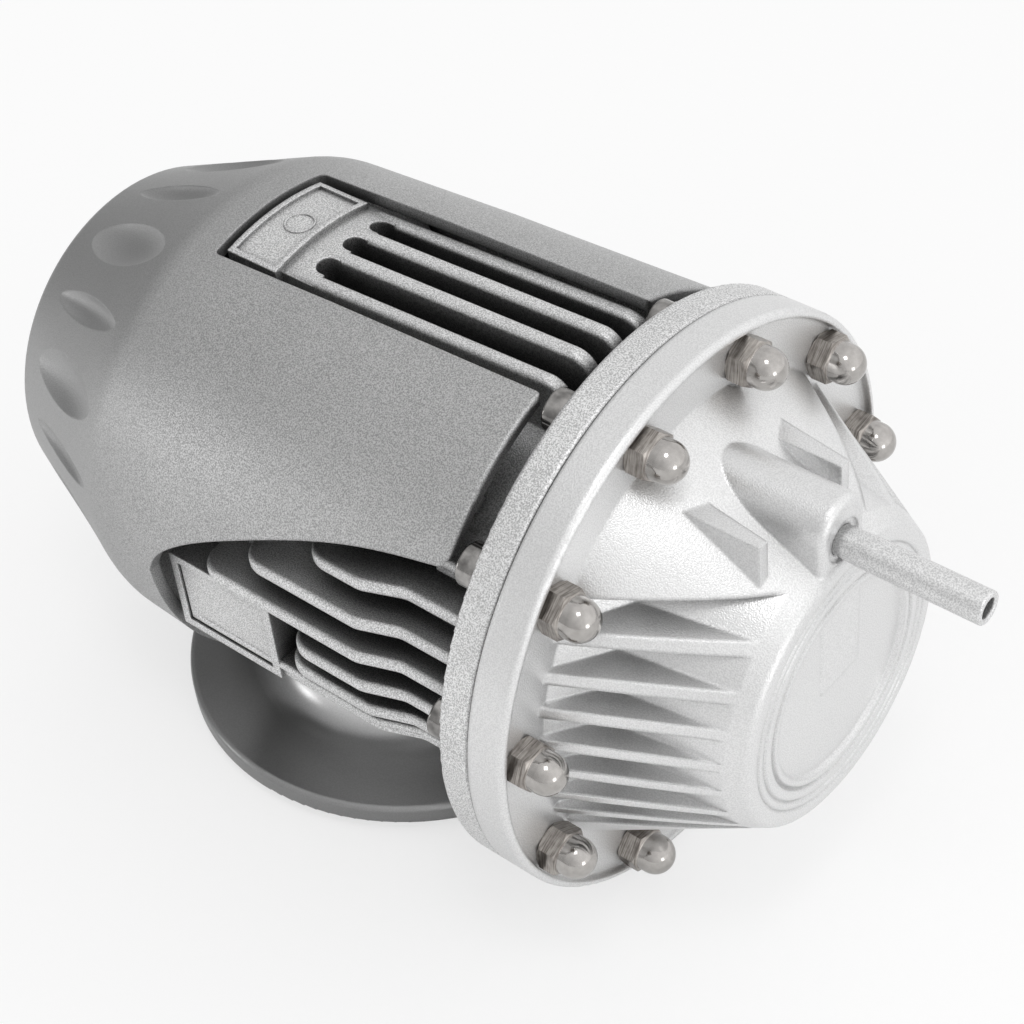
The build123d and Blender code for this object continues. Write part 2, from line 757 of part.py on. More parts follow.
# Socket head screws from the body side and domed nuts on the cap
for number, place in enumerate(bolt_places(), 1):
    with BuildPart() as flange_screw:
        with BuildSketch(across(-body_flange_thickness - screw_head_height)):
            with Locations(place):
                Circle(screw_head_radius)
        extrude(amount=screw_head_height)
        rear_rim = flange_screw.edges().filter_by(GeomType.CIRCLE).sort_by(Axis.X)[0]
        fillet(rear_rim, screw_head_round)
        with BuildSketch(across(-body_flange_thickness)):
            with Locations(place):
                Circle(screw_radius)
        extrude(amount=screw_length)
        with BuildSketch(across(-body_flange_thickness - screw_head_height)):
            with Locations(place):
                RegularPolygon(hex_key_flats / 2, 6, major_radius=False)
        extrude(amount=hex_key_depth, mode=Mode.SUBTRACT)
    export(flange_screw, f"flange_screw_{number}")

    nut_corner_radius = nut_flats / sqrt(3)
    nut_centre = lengthwise.offset(-place[0])
    nut_axis = Axis((inlet_to_split, place[0], axis_height + place[1]), (1, 0, 0))
    with BuildPart() as cap_nut:
        with BuildSketch(across(cap_flange_thickness)):
            with Locations(Location(place, nut_turn_step * number)):
                RegularPolygon(nut_flats / 2, 6, major_radius=False)
        extrude(amount=nut_hex_height)
        with BuildSketch(nut_centre):
            with BuildLine():
                Polyline(
                    (cap_flange_thickness, place[1]),
                    (cap_flange_thickness, place[1] + nut_corner_radius - nut_chamfer),
                    (cap_flange_thickness + nut_chamfer, place[1] + nut_corner_radius),
                    (cap_flange_thickness + nut_hex_height - nut_chamfer, place[1] + nut_corner_radius),
                    (cap_flange_thickness + nut_hex_height, place[1] + nut_dome_radius),
                    (cap_flange_thickness + nut_hex_height, place[1]),
                    close=True,
                )
            make_face()
        revolve(axis=nut_axis, mode=Mode.INTERSECT)
        with BuildSketch(nut_centre):
            dome_station = cap_flange_thickness + nut_height - nut_dome_radius
            with BuildLine():
                start = (cap_flange_thickness + nut_hex_height / 2, place[1])
                Line(start, (start[0], place[1] + nut_dome_radius))
                Line((start[0], place[1] + nut_dome_radius), (dome_station, place[1] + nut_dome_radius))
                CenterArc((dome_station, place[1]), nut_dome_radius, 0, 90)
                Line((dome_station + nut_dome_radius, place[1]), start)
            make_face()
        revolve(axis=nut_axis)
        with BuildSketch(across(cap_flange_thickness)):
            with Locations(place):
                Circle(screw_radius + snug)
        extrude(amount=nut_thread_depth, mode=Mode.SUBTRACT)
    export(cap_nut, f"cap_nut_{number}")


def scoop(half_width, depth):
    # A lens-shaped cutter lying on the shroud's rear cone at the top, its round axis above the surface
    round_radius = (half_width**2 / depth + depth) / 2
    lift = round_radius - depth
    half_length = scoop_half_length * sqrt(round_radius / depth)
    lean = atan(cone_slope)
    radius_there = shroud_shoulder_radius - cone_slope * (scoop_station - shroud_shoulder)
    centre = (inlet_to_split - scoop_station, 0, axis_height + radius_there)
    on_cone = Plane(origin=centre, x_dir=(cos(lean), 0, sin(lean)), z_dir=(0, -1, 0))
    with BuildPart() as cutter:
        with BuildSketch(on_cone):
            with BuildLine():
                ThreePointArc((-half_length, lift), (0, -depth), (half_length, lift))
                Line((half_length, lift), (-half_length, lift))
            make_face()
        revolve(axis=Axis(on_cone.from_local_coords((0, lift, 0)), on_cone.x_dir))
    return cutter.part


# Shroud: a thin turned shell around the body, open below and on top, with scoops around its rear cone
with BuildPart() as outer_shroud:
    with BuildSketch(lengthwise):
        with BuildLine():
            Polyline(
                (-shroud_front, shroud_front_radius),
                (-shroud_middle, shroud_middle_radius),
                (-shroud_shoulder, shroud_shoulder_radius),
                (-shroud_end, shroud_end_radius),
                (-shroud_end, nozzle_lip_radius + snug),
                (-shroud_end + shroud_land_depth, nozzle_lip_radius + snug),
                (-shroud_end + shroud_land_depth, shroud_bore_radius),
                (-shroud_land_front, shroud_bore_radius),
                (-shroud_land_front, shroud_end_radius + cone_slope * shroud_land_room - shroud_end_wall),
                (-shroud_shoulder, shroud_shoulder_radius - shroud_wall),
                (-shroud_middle, shroud_middle_radius - shroud_wall),
                (-shroud_front, shroud_front_radius - shroud_wall),
                close=True,
            )
        make_face()
        outer_corner = vertices().group_by(Axis.X)[0].sort_by(Axis.Y)[-1]
        fillet(outer_corner, shroud_rim_round)
        shoulder = vertices().filter_by(lambda v: abs(v.Y - shroud_shoulder_radius) < 0.01)
        fillet(shoulder, shroud_shoulder_round)
        front_corners = vertices().filter_by(lambda v: v.X > -shroud_front - 0.01)
        fillet(front_corners, shroud_edge_round)
    revolve(axis=main_axis)
    with BuildSketch(Plane(origin=(inlet_to_split, 0, axis_height + flange_radius / 2))):
        with Locations((-(window_rear + shroud_front) / 2, 0)):
            Rectangle(window_rear - shroud_front, 2 * window_half_width)
        fillet(vertices().group_by(Axis.X)[0], window_corner_round)
        with Locations((-shroud_front, 0)):
            Rectangle(2 * window_corner_round, 2 * (window_half_width + window_corner_round))
        for side in (1, -1):
            corner = (-shroud_front - window_corner_round, side * (window_half_width + window_corner_round))
            with Locations(corner):
                Circle(window_corner_round, mode=Mode.SUBTRACT)
    extrude(amount=flange_radius, mode=Mode.SUBTRACT)
    with BuildSketch(lengthwise):
        with BuildLine():
            edge_points = [(-back, height) for back, height in opening_edge]
            wing_corner = (-shroud_front, wing_corner_height)
            Line(wing_corner, edge_points[0])
            start_way = (edge_points[0][0] - wing_corner[0], edge_points[0][1] - wing_corner[1])
            end_way = (edge_points[-1][0] - edge_points[-2][0], 2 * (edge_points[-1][1] - edge_points[-2][1]))
            Spline(*edge_points, tangents=(start_way, end_way))
            Polyline(
                edge_points[-1],
                (edge_points[-1][0], -inlet_to_split),
                (0, -inlet_to_split),
                (0, flange_radius),
                (-shroud_front, flange_radius),
                wing_corner,
            )
        make_face()
        wing_vertex = vertices().filter_by(lambda v: (Vector(v) - Vector(*wing_corner)).length < snug)
        fillet(wing_vertex, wing_corner_round)
    extrude(amount=flange_radius, both=True, mode=Mode.SUBTRACT)
    with BuildSketch(Plane.XZ):
        notch_neck = inlet_neck_radius + neck_notch_clearance
        notch_flange = inlet_flange_radius + neck_notch_clearance
        notch_floor = inlet_flange_thickness + free_gap
        with BuildLine():
            Polyline(
                (0, -flange_radius),
                (notch_flange, -flange_radius),
                (notch_flange, notch_floor),
                (notch_neck + inlet_foot_round, notch_floor),
                (notch_neck, notch_floor + inlet_foot_round),
                (notch_neck, axis_height),
                (0, axis_height),
                close=True,
            )
        make_face()
    revolve(axis=Axis.Z, mode=Mode.SUBTRACT)
    large = scoop(large_scoop_half_width, large_scoop_depth)
    small = scoop(small_scoop_half_width, small_scoop_depth)
    for count in range(scoop_count):
        turn = scoop_first_angle - 90 + count * 360 / scoop_count
        cutter = small if count % 2 == 0 else large
        add(cutter.rotate(main_axis, turn), mode=Mode.SUBTRACT)
export(outer_shroud, "outer_shroud")

# Outlet nozzle: screwed into the body, its lip holds the shroud from behind
turned(
    "outlet_nozzle",
    (
        (-nozzle_front, valve_seat_bore),
        (-nozzle_front, nozzle_thread_radius - snug),
        (-body_length, nozzle_thread_radius - snug),
        (-body_length, nozzle_collar_radius),
        (-body_length - nozzle_collar_length, nozzle_collar_radius),
        (-body_length - nozzle_collar_length, nozzle_neck_radius),
        (-shroud_end + nozzle_flare_length, nozzle_neck_radius),
        (-shroud_land_front, shroud_bore_radius - snug),
        (-shroud_end + shroud_land_depth, shroud_bore_radius - snug),
        (-shroud_end + shroud_land_depth, nozzle_lip_radius),
        (-shroud_end, nozzle_lip_radius),
        (-shroud_end, nozzle_mouth_radius),
        (-shroud_end + nozzle_flare_length, valve_seat_bore),
    ),
)

# Seal ring in the inlet's face
with BuildPart() as inlet_seal:
    with BuildSketch(Plane.XZ):
        with Locations((inlet_seal_radius, inlet_seal_section)):
            Circle(inlet_seal_section)
    revolve(axis=Axis.Z)
export(inlet_seal, "inlet_seal")

# Bush and seal that carry the spindle in the partition
washer("shaft_bush", bush_outer_radius - snug, spindle_radius + running_fit, cup_depth, bush_rear)
washer("shaft_seal", shaft_seal_radius - snug, spindle_radius + running_fit, bush_rear, bush_boss_rear)

# Diaphragm: its rim is clamped, its middle hangs behind the split face until vacuum pulls it forwards
turned(
    "diaphragm",
    (
        (0, diaphragm_recess_radius - snug),
        (0, chamber_mouth_radius - seat_gap),
        (-diaphragm_drop, front_plate_radius + plate_clearance),
        (-diaphragm_drop, spindle_thread_radius + snug),
        (-diaphragm_rear, spindle_thread_radius + snug),
        (-diaphragm_rear, front_plate_radius + plate_clearance),
        (-diaphragm_thickness, cup_radius - seat_gap),
        (-diaphragm_thickness, diaphragm_recess_radius - snug),
    ),
)
plate_bore = spindle_thread_radius + snug
washer("front_plate", front_plate_radius, plate_bore, front_plate_face, diaphragm_drop, plate_edge_round)
washer("rear_plate", rear_plate_radius, plate_bore, diaphragm_rear, spindle_shoulder, plate_edge_round)

# Spindle: a thread through the diaphragm stack, a long shank and a stop nut behind the valves
turned(
    "spindle",
    (
        (-front_plate_face + stem_nut_height + spindle_stick_out, 0),
        (-front_plate_face + stem_nut_height + spindle_stick_out, spindle_thread_radius),
        (-spindle_shoulder, spindle_thread_radius),
        (-spindle_shoulder, spindle_radius),
        (-stop_washer_front, spindle_radius),
        (-stop_washer_front, spindle_thread_radius),
        (-stop_nut_rear - spindle_stick_out, spindle_thread_radius),
        (-stop_nut_rear - spindle_stick_out, 0),
    ),
)


def hex_nut(name, front, rear):
    with BuildPart() as nut:
        with BuildSketch(across(-rear)):
            RegularPolygon(stem_nut_flats / 2, 6, major_radius=False)
            Circle(spindle_thread_radius + snug, mode=Mode.SUBTRACT)
        extrude(amount=rear - front)
    export(nut, name)


hex_nut("stem_nut", front_plate_face - stem_nut_height, front_plate_face)
hex_nut("stop_nut", stop_washer_rear, stop_nut_rear)
washer("stop_washer", stop_washer_radius, plate_bore, stop_washer_front, stop_washer_rear)

# Secondary valve: a disc with ports around its hub, sliding on the spindle, with a seal set in its rear face
with BuildPart() as secondary_valve:
    with BuildSketch(lengthwise):
        with BuildLine():
            Polyline(
                (-secondary_front, spindle_radius + running_fit),
                (-secondary_front, secondary_radius),
                (-secondary_rear, secondary_radius),
                (-secondary_rear, seal_outer_radius),
                (-secondary_rear + seal_thickness, seal_outer_radius),
                (-secondary_rear + seal_thickness, seal_inner_radius),
                (-secondary_rear, seal_inner_radius),
                (-secondary_rear, secondary_hub_radius),
                (-secondary_hub_rear, secondary_hub_radius),
                (-secondary_hub_rear, spindle_radius + running_fit),
                close=True,
            )
        make_face()
    revolve(axis=main_axis)
    with BuildSketch(across(-secondary_rear)):
        with PolarLocations(port_circle_radius, port_count):
            Circle(port_radius)
    extrude(amount=secondary_thickness, mode=Mode.SUBTRACT)
export(secondary_valve, "secondary_valve")
washer(
    "secondary_seal",
    seal_outer_radius - snug,
    seal_inner_radius + snug,
    secondary_rear - seal_thickness,
    secondary_rear + seal_proud,
)

# Primary valve: a disc fixed on the spindle, closing the ports with its own seal
turned(
    "primary_valve",
    (
        (-primary_front + primary_hub_length, spindle_radius + snug),
        (-primary_front + primary_hub_length, primary_hub_radius),
        (-primary_front, primary_hub_radius),
        (-primary_front, primary_radius),
        (-primary_rear, primary_radius),
        (-primary_rear, spindle_radius + snug),
    ),
)
washer("primary_seal", primary_seal_outer_radius, primary_seal_inner_radius, primary_rear, primary_seal_rear)


def coil_spring(name, mean_radius, wire_radius, turns, front, rear):
    # An open coil between two distances behind the split face
    height = rear - front - 2 * wire_radius - 2 * seat_gap
    with BuildPart() as spring:
        with BuildLine():
            base = (inlet_to_split - rear + wire_radius + seat_gap, 0, axis_height)
            path = Helix(height / turns, height, mean_radius, center=base, direction=(1, 0, 0))
        with BuildSketch(Plane(origin=path @ 0, z_dir=path % 0)):
            Circle(wire_radius)
        sweep(is_frenet=True)
    export(spring, name)


coil_spring(
    "main_spring",
    main_spring_radius,
    main_spring_wire,
    main_spring_turns,
    -chamber_depth,
    front_plate_face,
)
coil_spring(
    "secondary_spring",
    secondary_spring_radius,
    secondary_spring_wire,
    secondary_spring_turns,
    partition_rear,
    secondary_front,
)
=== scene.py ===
import bmesh
import bpy
import math
from mathutils import Matrix, Vector


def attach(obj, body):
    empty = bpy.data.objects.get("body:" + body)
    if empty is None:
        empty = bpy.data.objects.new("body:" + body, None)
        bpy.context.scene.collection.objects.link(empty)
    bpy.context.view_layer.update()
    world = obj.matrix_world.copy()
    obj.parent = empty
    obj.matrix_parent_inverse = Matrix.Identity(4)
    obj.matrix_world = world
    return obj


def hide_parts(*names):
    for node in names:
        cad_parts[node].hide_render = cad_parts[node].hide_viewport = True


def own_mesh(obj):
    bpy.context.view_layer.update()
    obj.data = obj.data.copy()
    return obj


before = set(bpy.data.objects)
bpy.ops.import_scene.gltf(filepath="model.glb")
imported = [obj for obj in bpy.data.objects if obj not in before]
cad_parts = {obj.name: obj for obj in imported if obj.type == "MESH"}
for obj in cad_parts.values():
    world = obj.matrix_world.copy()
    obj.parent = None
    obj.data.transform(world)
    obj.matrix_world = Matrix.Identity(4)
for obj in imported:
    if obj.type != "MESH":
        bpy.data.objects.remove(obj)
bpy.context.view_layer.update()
print("frame loaded")

# Camera and stage
cameraSettings = {
    "place": (0.21164, -0.19668, 0.30146),
    "aim": (0.03332, -0.00886, 0.05721),
    "roll": -6.14,  # degrees, the picture leans a little
    "lens": 81.73,
    "sensor": 36.0,
}
stageSettings = {
    "floorHeight": -0.0018,
    "floorSize": 3.0,
    "floorColour": (0.92, 0.92, 0.92, 1),
    "floorShadow": 0.35,  # share of the floor's look that takes real light and shadow
    "mirroredWhite": 0.10,  # share of the white background that metal and glass show
    # How bright the room is on each side, towards minus and towards plus
    "sides": {"X": (0.0, 1.30), "Y": (0.62, 1.05), "Z": (0.0, 1.06)},
}
# Softboxes: direction from the object, distance, size and power in watts
lampSettings = {
    "leftBox": {"way": (-0.73, -0.66, 0.14), "distance": 0.9, "size": (0.22, 0.22), "power": 0.50},
    "topBox": {"way": (0.22, -0.22, 0.95), "distance": 0.9, "size": (0.22, 0.22), "power": 0.90},
    "rightBox": {"way": (0.97, -0.22, 0.10), "distance": 0.9, "size": (0.22, 0.22), "power": 0.40},
}
lampAim = (0.02, 0.0, 0.045)
white = (1, 1, 1, 1)


def aimRotation(place, aim):
    return (Vector(aim) - Vector(place)).to_track_quat("-Z", "Y")


def makeCamera(settings):
    data = bpy.data.cameras.new("photoCamera")
    data.lens = settings["lens"]
    data.sensor_width = settings["sensor"]
    data.sensor_fit = "HORIZONTAL"
    data.clip_start = 0.01
    camera = bpy.data.objects.new("photoCamera", data)
    turn = aimRotation(settings["place"], settings["aim"]).to_matrix().to_4x4()
    roll = Matrix.Rotation(math.radians(settings["roll"]), 4, "Z")
    camera.matrix_world = Matrix.Translation(settings["place"]) @ turn @ roll
    bpy.context.scene.collection.objects.link(camera)
    bpy.context.scene.camera = camera


def makeLamps(settings):
    for name, lamp in settings.items():
        data = bpy.data.lights.new(name, "AREA")
        data.shape = "RECTANGLE"
        data.size, data.size_y = lamp["size"]
        data.energy = lamp["power"]
        thing = bpy.data.objects.new(name, data)
        place = Vector(lampAim) + Vector(lamp["way"]).normalized() * lamp["distance"]
        turn = aimRotation(place, lampAim).to_matrix().to_4x4()
        thing.matrix_world = Matrix.Translation(place) @ turn
        bpy.context.scene.collection.objects.link(thing)


# Shader maths: a wire wraps a socket, and an expression on wires adds the nodes
class Wire:
    def __init__(self, sheet, socket):
        self.sheet = sheet
        self.socket = socket

    def maths(self, operation, first, second):
        return self.sheet.node("ShaderNodeMath", {"operation": operation}, {0: first, 1: second})

    def __add__(self, other):
        return self.maths("ADD", self, other)

    def __radd__(self, other):
        return self.maths("ADD", other, self)

    def __sub__(self, other):
        return self.maths("SUBTRACT", self, other)

    def __rsub__(self, other):
        return self.maths("SUBTRACT", other, self)

    def __mul__(self, other):
        return self.maths("MULTIPLY", self, other)

    def __rmul__(self, other):
        return self.maths("MULTIPLY", other, self)


class Sheet:
    def __init__(self, name, owner=None):
        self.material = owner or bpy.data.materials.new(name)
        self.material.use_nodes = True
        self.tree = self.material.node_tree
        self.tree.nodes.clear()
        kind = "ShaderNodeOutputWorld" if owner else "ShaderNodeOutputMaterial"
        self.output = self.tree.nodes.new(kind)

    @property
    def place(self):
        return self.node("ShaderNodeTexCoord", {}, {}, "Object")

    def rayKinds(self):
        # Rays that see the pale studio itself: from the camera, mirrored or through glass
        kinds = ("Is Camera Ray", "Is Glossy Ray", "Is Transmission Ray")
        return [self.node("ShaderNodeLightPath", {}, {}, kind) for kind in kinds]

    def paleShare(self, mirroredShare):
        # How much of the plain white studio a ray sees: all of it from the camera
        seen, mirrored, through = self.rayKinds()
        return seen + (mirrored + through) * mirroredShare

    def node(self, kind, settings, sockets, output=0):
        made = self.tree.nodes.new(kind)
        for key, value in settings.items():
            if key == "stops":
                self.setStops(made, value)
            else:
                setattr(made, key, value)
        for key, value in sockets.items():
            if isinstance(value, Wire):
                self.tree.links.new(value.socket, made.inputs[key])
            else:
                made.inputs[key].default_value = value
        return Wire(self, made.outputs[output])

    def setStops(self, ramp, stops):
        elements = ramp.color_ramp.elements
        while len(elements) < len(stops):
            elements.new(0.5)
        for element, (position, value) in zip(elements, stops):
            element.position = position
            element.color = (value, value, value, 1)

    def noise(self, scale, detail=2.0, roughness=0.5):
        sockets = {"Vector": self.place, "Scale": scale, "Detail": detail, "Roughness": roughness}
        return self.node("ShaderNodeTexNoise", {}, sockets, "Fac")

    def along(self, axis):
        return self.node("ShaderNodeSeparateXYZ", {}, {"Vector": self.place}, axis)

    def step(self, wire, low, high):
        # 0 below low, 1 above high, smooth between
        settings = {"interpolation_type": "SMOOTHSTEP"}
        sockets = {"Value": wire, "From Min": low, "From Max": high}
        return self.node("ShaderNodeMapRange", settings, sockets, "Result")

    def rounded(self, radius):
        return self.node("ShaderNodeBevel", {"samples": 4}, {"Radius": radius}, "Normal")

    def ramp(self, wire, *stops):
        return self.node("ShaderNodeValToRGB", {"stops": stops}, {"Fac": wire}, "Color")

    def blend(self, factor, first, second, way="MIX"):
        # The Mix node's colour sockets are 6 and 7, and its colour result is 2
        settings = {"data_type": "RGBA", "blend_type": way}
        return self.node("ShaderNodeMix", settings, {"Factor": factor, 6: first, 7: second}, 2)

    def shaded(self, colour, shade):
        return self.blend(1.0, colour, shade, "MULTIPLY")

    def eased(self, wire, share, target):
        # The value moved towards a target by a share
        return wire + share * (target - wire)

    def bump(self, height, distance, strength=1.0, under=None):
        sockets = {"Height": height, "Distance": distance, "Strength": strength}
        if under:
            sockets["Normal"] = under
        return self.node("ShaderNodeBump", {}, sockets, "Normal")

    def surface(self, **sockets):
        named = {key.replace("_", " "): value for key, value in sockets.items()}
        return self.finish(self.node("ShaderNodeBsdfPrincipled", {}, named))

    def finish(self, shader):
        self.tree.links.new(shader.socket, self.output.inputs["Surface"])
        return self.material


def grey(value, warmth=0.0):
    return (value * (1 + warmth), value, value * (1 - warmth), 1)


# Blasted and painted castings: fine sparkling grain over slow blotches, painted shade in gaps from an
# occlusion node, rounded at every edge
metalFinishes = {
    "bodyMetal": {
        "dark": 0.50,
        "light": 0.90,
        "rough": (0.34, 0.50),
        "relief": 0.00006,
        "edge": 0.00050,
        "paintedGapShade": 0.08,  # shade deep in a gap
        "open": 0.92,  # openness from which there is no shade
    },
    "shroudMetal": {
        "dark": 0.34,
        "light": 0.58,
        "rough": (0.40, 0.54),
        "relief": 0.00003,
        "edge": 0.00045,
        "paintedGapShade": 0.25,
        "open": 0.85,
    },
    "capMetal": {
        "dark": 0.70,
        "light": 0.82,
        "rough": (0.30, 0.42),
        "relief": 0.00004,
        "edge": 0.00070,
        "paintedGapShade": 0.85,
        "open": 0.80,
    },
    "nippleMetal": {
        "dark": 0.58,
        "light": 0.84,
        "rough": (0.30, 0.42),
        "relief": 0.00003,
        "edge": 0.00025,
        "paintedGapShade": 0.60,
        "open": 0.80,
    },
}
grainSettings = {
    "size": 0.00022,
    "blotchSize": 0.010,
    "blotchDetail": 3.0,
    "blotchRoughness": 0.55,
    "blotchShare": 0.08,
    "contrast": (0.28, 0.72),
    "metal": 0.80,
    # Painted shade in gaps: how far the occlusion node reaches, and the openness at which the painted shade
    # is darkest
    "paintedShadeReach": 0.008,
    "closed": 0.35,  # openness at which a gap is darkest
}
# The inlet's flange is turned and smooth, with painted shade making it dark below and painted light making it
# lighter up its neck
inletSettings = {
    "flangeTop": 0.0042,
    "neckTop": 0.0085,
    "fade": 0.0020,
    "flangePaintedShade": 0.40,
    "neckPaintedLight": 1.25,
    "rough": 0.30,
    "calm": 0.85,  # share of the grain that is gone
}
# The shroud's rear cone is smoother than its sides, and painted shade makes it darker
coneSettings = {"start": -0.0240, "fade": 0.0160, "shade": 0.84, "calm": 0.8}


def turnedInletAndPaintedShade(sheet, settings, sparkle, rough, grain, shade):
    height = sheet.along("Z")
    top = settings["neckTop"]
    onTurned = 1 - sheet.step(height, top, top + settings["fade"])
    onNeck = sheet.step(height, settings["flangeTop"], top)
    # Painted shade on the flange and painted light up the neck, set by height
    paintedInletShade = sheet.blend(onNeck, grey(settings["flangePaintedShade"]), grey(settings["neckPaintedLight"]))
    sparkle = sheet.eased(sparkle, onTurned * settings["calm"], 0.5)
    rough = sheet.eased(rough, onTurned, settings["rough"])
    return sparkle, rough, grain * (1 - onTurned), sheet.blend(onTurned, shade, paintedInletShade)


def smoothConeAndPaintedShade(sheet, settings, sparkle, shade):
    start, fade = settings["start"], settings["fade"]
    onCone = 1 - sheet.step(sheet.along("X"), start - fade, start + fade)
    sparkle = sheet.eased(sparkle, onCone * settings["calm"], 0.5)
    # Painted shade darkens the colour on the rear cone
    return sparkle, sheet.blend(onCone, shade, grey(settings["shade"]))


def grainedMetal(name, finish, settings):
    sheet = Sheet(name)
    grain = sheet.noise(1 / settings["size"], 0.0)
    blotch = sheet.noise(1 / settings["blotchSize"], settings["blotchDetail"], settings["blotchRoughness"])
    share = settings["blotchShare"]
    sparkle = sheet.step(grain * (1 - share) + blotch * share, *settings["contrast"])
    smooth, dull = finish["rough"]
    rough = dull - grain * (dull - smooth)
    relief = grain
    reach = {"Distance": settings["paintedShadeReach"]}
    # Painted shade: an occlusion node darkens the colour deep in gaps and corners, where shade falls
    openness = sheet.node("ShaderNodeAmbientOcclusion", {"samples": 4}, reach, "AO")
    shade = sheet.ramp(openness, (settings["closed"], finish["paintedGapShade"]), (finish["open"], 1.0))
    if name == "bodyMetal":
        sparkle, rough, relief, shade = turnedInletAndPaintedShade(sheet, inletSettings, sparkle, rough, grain, shade)
    if name == "shroudMetal":
        sparkle, shade = smoothConeAndPaintedShade(sheet, coneSettings, sparkle, shade)
    colour = sheet.blend(sparkle, grey(finish["dark"]), grey(finish["light"]))
    return sheet.surface(
        Base_Color=sheet.shaded(colour, shade),
        Metallic=settings["metal"],
        Roughness=rough,
        Normal=sheet.bump(relief, finish["relief"], 1.0, sheet.rounded(finish["edge"])),
    )


# Plated or turned metals, some with fine tool marks
brightFinishes = {
    "screwChrome": {"dark": 0.16, "light": 0.42, "warmth": 0.03, "rough": (0.06, 0.14), "marks": 0.0},
    "turnedMetal": {"dark": 0.50, "light": 0.68, "warmth": 0.0, "rough": (0.20, 0.34), "marks": 0.6},
    "steel": {"dark": 0.42, "light": 0.58, "warmth": 0.01, "rough": (0.16, 0.30), "marks": 0.6},
    "springSteel": {"dark": 0.30, "light": 0.46, "warmth": 0.0, "rough": (0.25, 0.40), "marks": 0.3},
}
brightSettings = {
    "markScale": (5200.0, 260.0, 260.0),  # fine lines across the main axis
    "markDepth": 0.00001,
    "cloudScale": 420.0,
    "cloudDetail": 3.0,
    "contrast": (0.35, 0.65),
    "edge": 0.00015,
}


def toolMarks(sheet, scale):
    marks = sheet.node("ShaderNodeMapping", {}, {"Vector": sheet.place, "Scale": scale})
    return sheet.node("ShaderNodeTexNoise", {}, {"Vector": marks, "Scale": 1.0, "Detail": 2.0}, "Fac")


def brightMetal(name, finish, settings):
    sheet = Sheet(name)
    marks = toolMarks(sheet, settings["markScale"])
    cloud = sheet.noise(settings["cloudScale"], settings["cloudDetail"])
    share = finish["marks"]
    low, high = settings["contrast"]
    pattern = sheet.ramp(marks * share + cloud * (1 - share), (low, 0.0), (high, 1.0))
    warmth = finish["warmth"]
    smooth, dull = finish["rough"]
    return sheet.surface(
        Base_Color=sheet.blend(pattern, grey(finish["dark"], warmth), grey(finish["light"], warmth)),
        Metallic=1.0,
        Roughness=smooth + cloud * (dull - smooth),
        Normal=sheet.bump(marks, settings["markDepth"] * share, 1.0, sheet.rounded(settings["edge"])),
    )


# Domed nuts: a polished dome on a duller hexagon with tool marks
nutSettings = {
    "hexTop": 0.0650,
    "fade": 0.0001,
    "hexDark": (0.20, 0.18, 0.165, 1),
    "hexLight": (0.48, 0.45, 0.42, 1),
    "domeDark": (0.34, 0.325, 0.31, 1),
    "domeLight": (0.56, 0.54, 0.52, 1),
    "hexRough": 0.30,
    "domeRough": 0.10,
    "cloudRough": 0.06,
    "markScale": (5200.0, 260.0, 260.0),
    "markDepth": 0.00001,
    "markShare": 0.7,
    "cloudScale": 900.0,
    "cloudDetail": 3.0,
    "contrast": (0.38, 0.62),
    "edge": 0.00015,
}


def nutMetal(name, settings):
    sheet = Sheet(name)
    marks = toolMarks(sheet, settings["markScale"])
    cloud = sheet.noise(settings["cloudScale"], settings["cloudDetail"])
    top, fade = settings["hexTop"], settings["fade"]
    isDome = sheet.step(sheet.along("X"), top - fade, top + fade)
    share = settings["markShare"]
    low, high = settings["contrast"]
    pattern = sheet.ramp(marks * share + cloud * (1 - share), (low, 0.0), (high, 1.0))
    hexagon = sheet.blend(pattern, settings["hexDark"], settings["hexLight"])
    dome = sheet.blend(cloud, settings["domeDark"], settings["domeLight"])
    rough = settings["hexRough"] - isDome * (settings["hexRough"] - settings["domeRough"])
    return sheet.surface(
        Base_Color=sheet.blend(isDome, hexagon, dome),
        Metallic=1.0,
        Roughness=rough + cloud * settings["cloudRough"],
        Normal=sheet.bump(marks * (1 - isDome), settings["markDepth"], 1.0, sheet.rounded(settings["edge"])),
    )


# Seals and diaphragm
rubberSettings = {
    "dark": (0.012, 0.012, 0.013, 1),
    "light": (0.035, 0.035, 0.036, 1),
    "scale": 900.0,
    "detail": 3.0,
    "rough": (0.55, 0.75),
    "relief": 0.00003,
}


def rubber(name, settings):
    sheet = Sheet(name)
    bloom = sheet.noise(settings["scale"], settings["detail"])
    smooth, dull = settings["rough"]
    return sheet.surface(
        Base_Color=sheet.blend(bloom, settings["dark"], settings["light"]),
        Roughness=smooth + bloom * (dull - smooth),
        Normal=sheet.bump(bloom, settings["relief"]),
    )


# The spindle's bush
bronzeSettings = {
    "dark": (0.42, 0.25, 0.09, 1),
    "light": (0.62, 0.42, 0.18, 1),
    "scale": 500.0,
    "detail": 3.0,
    "rough": (0.28, 0.43),
}


def bronze(name, settings):
    sheet = Sheet(name)
    cloud = sheet.noise(settings["scale"], settings["detail"])
    smooth, dull = settings["rough"]
    return sheet.surface(
        Base_Color=sheet.blend(cloud, settings["dark"], settings["light"]),
        Metallic=1.0,
        Roughness=smooth + cloud * (dull - smooth),
    )


def makeMaterials():
    made = {}
    for name, finish in metalFinishes.items():
        made[name] = grainedMetal(name, finish, grainSettings)
    for name, finish in brightFinishes.items():
        made[name] = brightMetal(name, finish, brightSettings)
    made["nutChrome"] = nutMetal("nutChrome", nutSettings)
    made["blackRubber"] = rubber("blackRubber", rubberSettings)
    made["bronze"] = bronze("bronze", bronzeSettings)
    return made


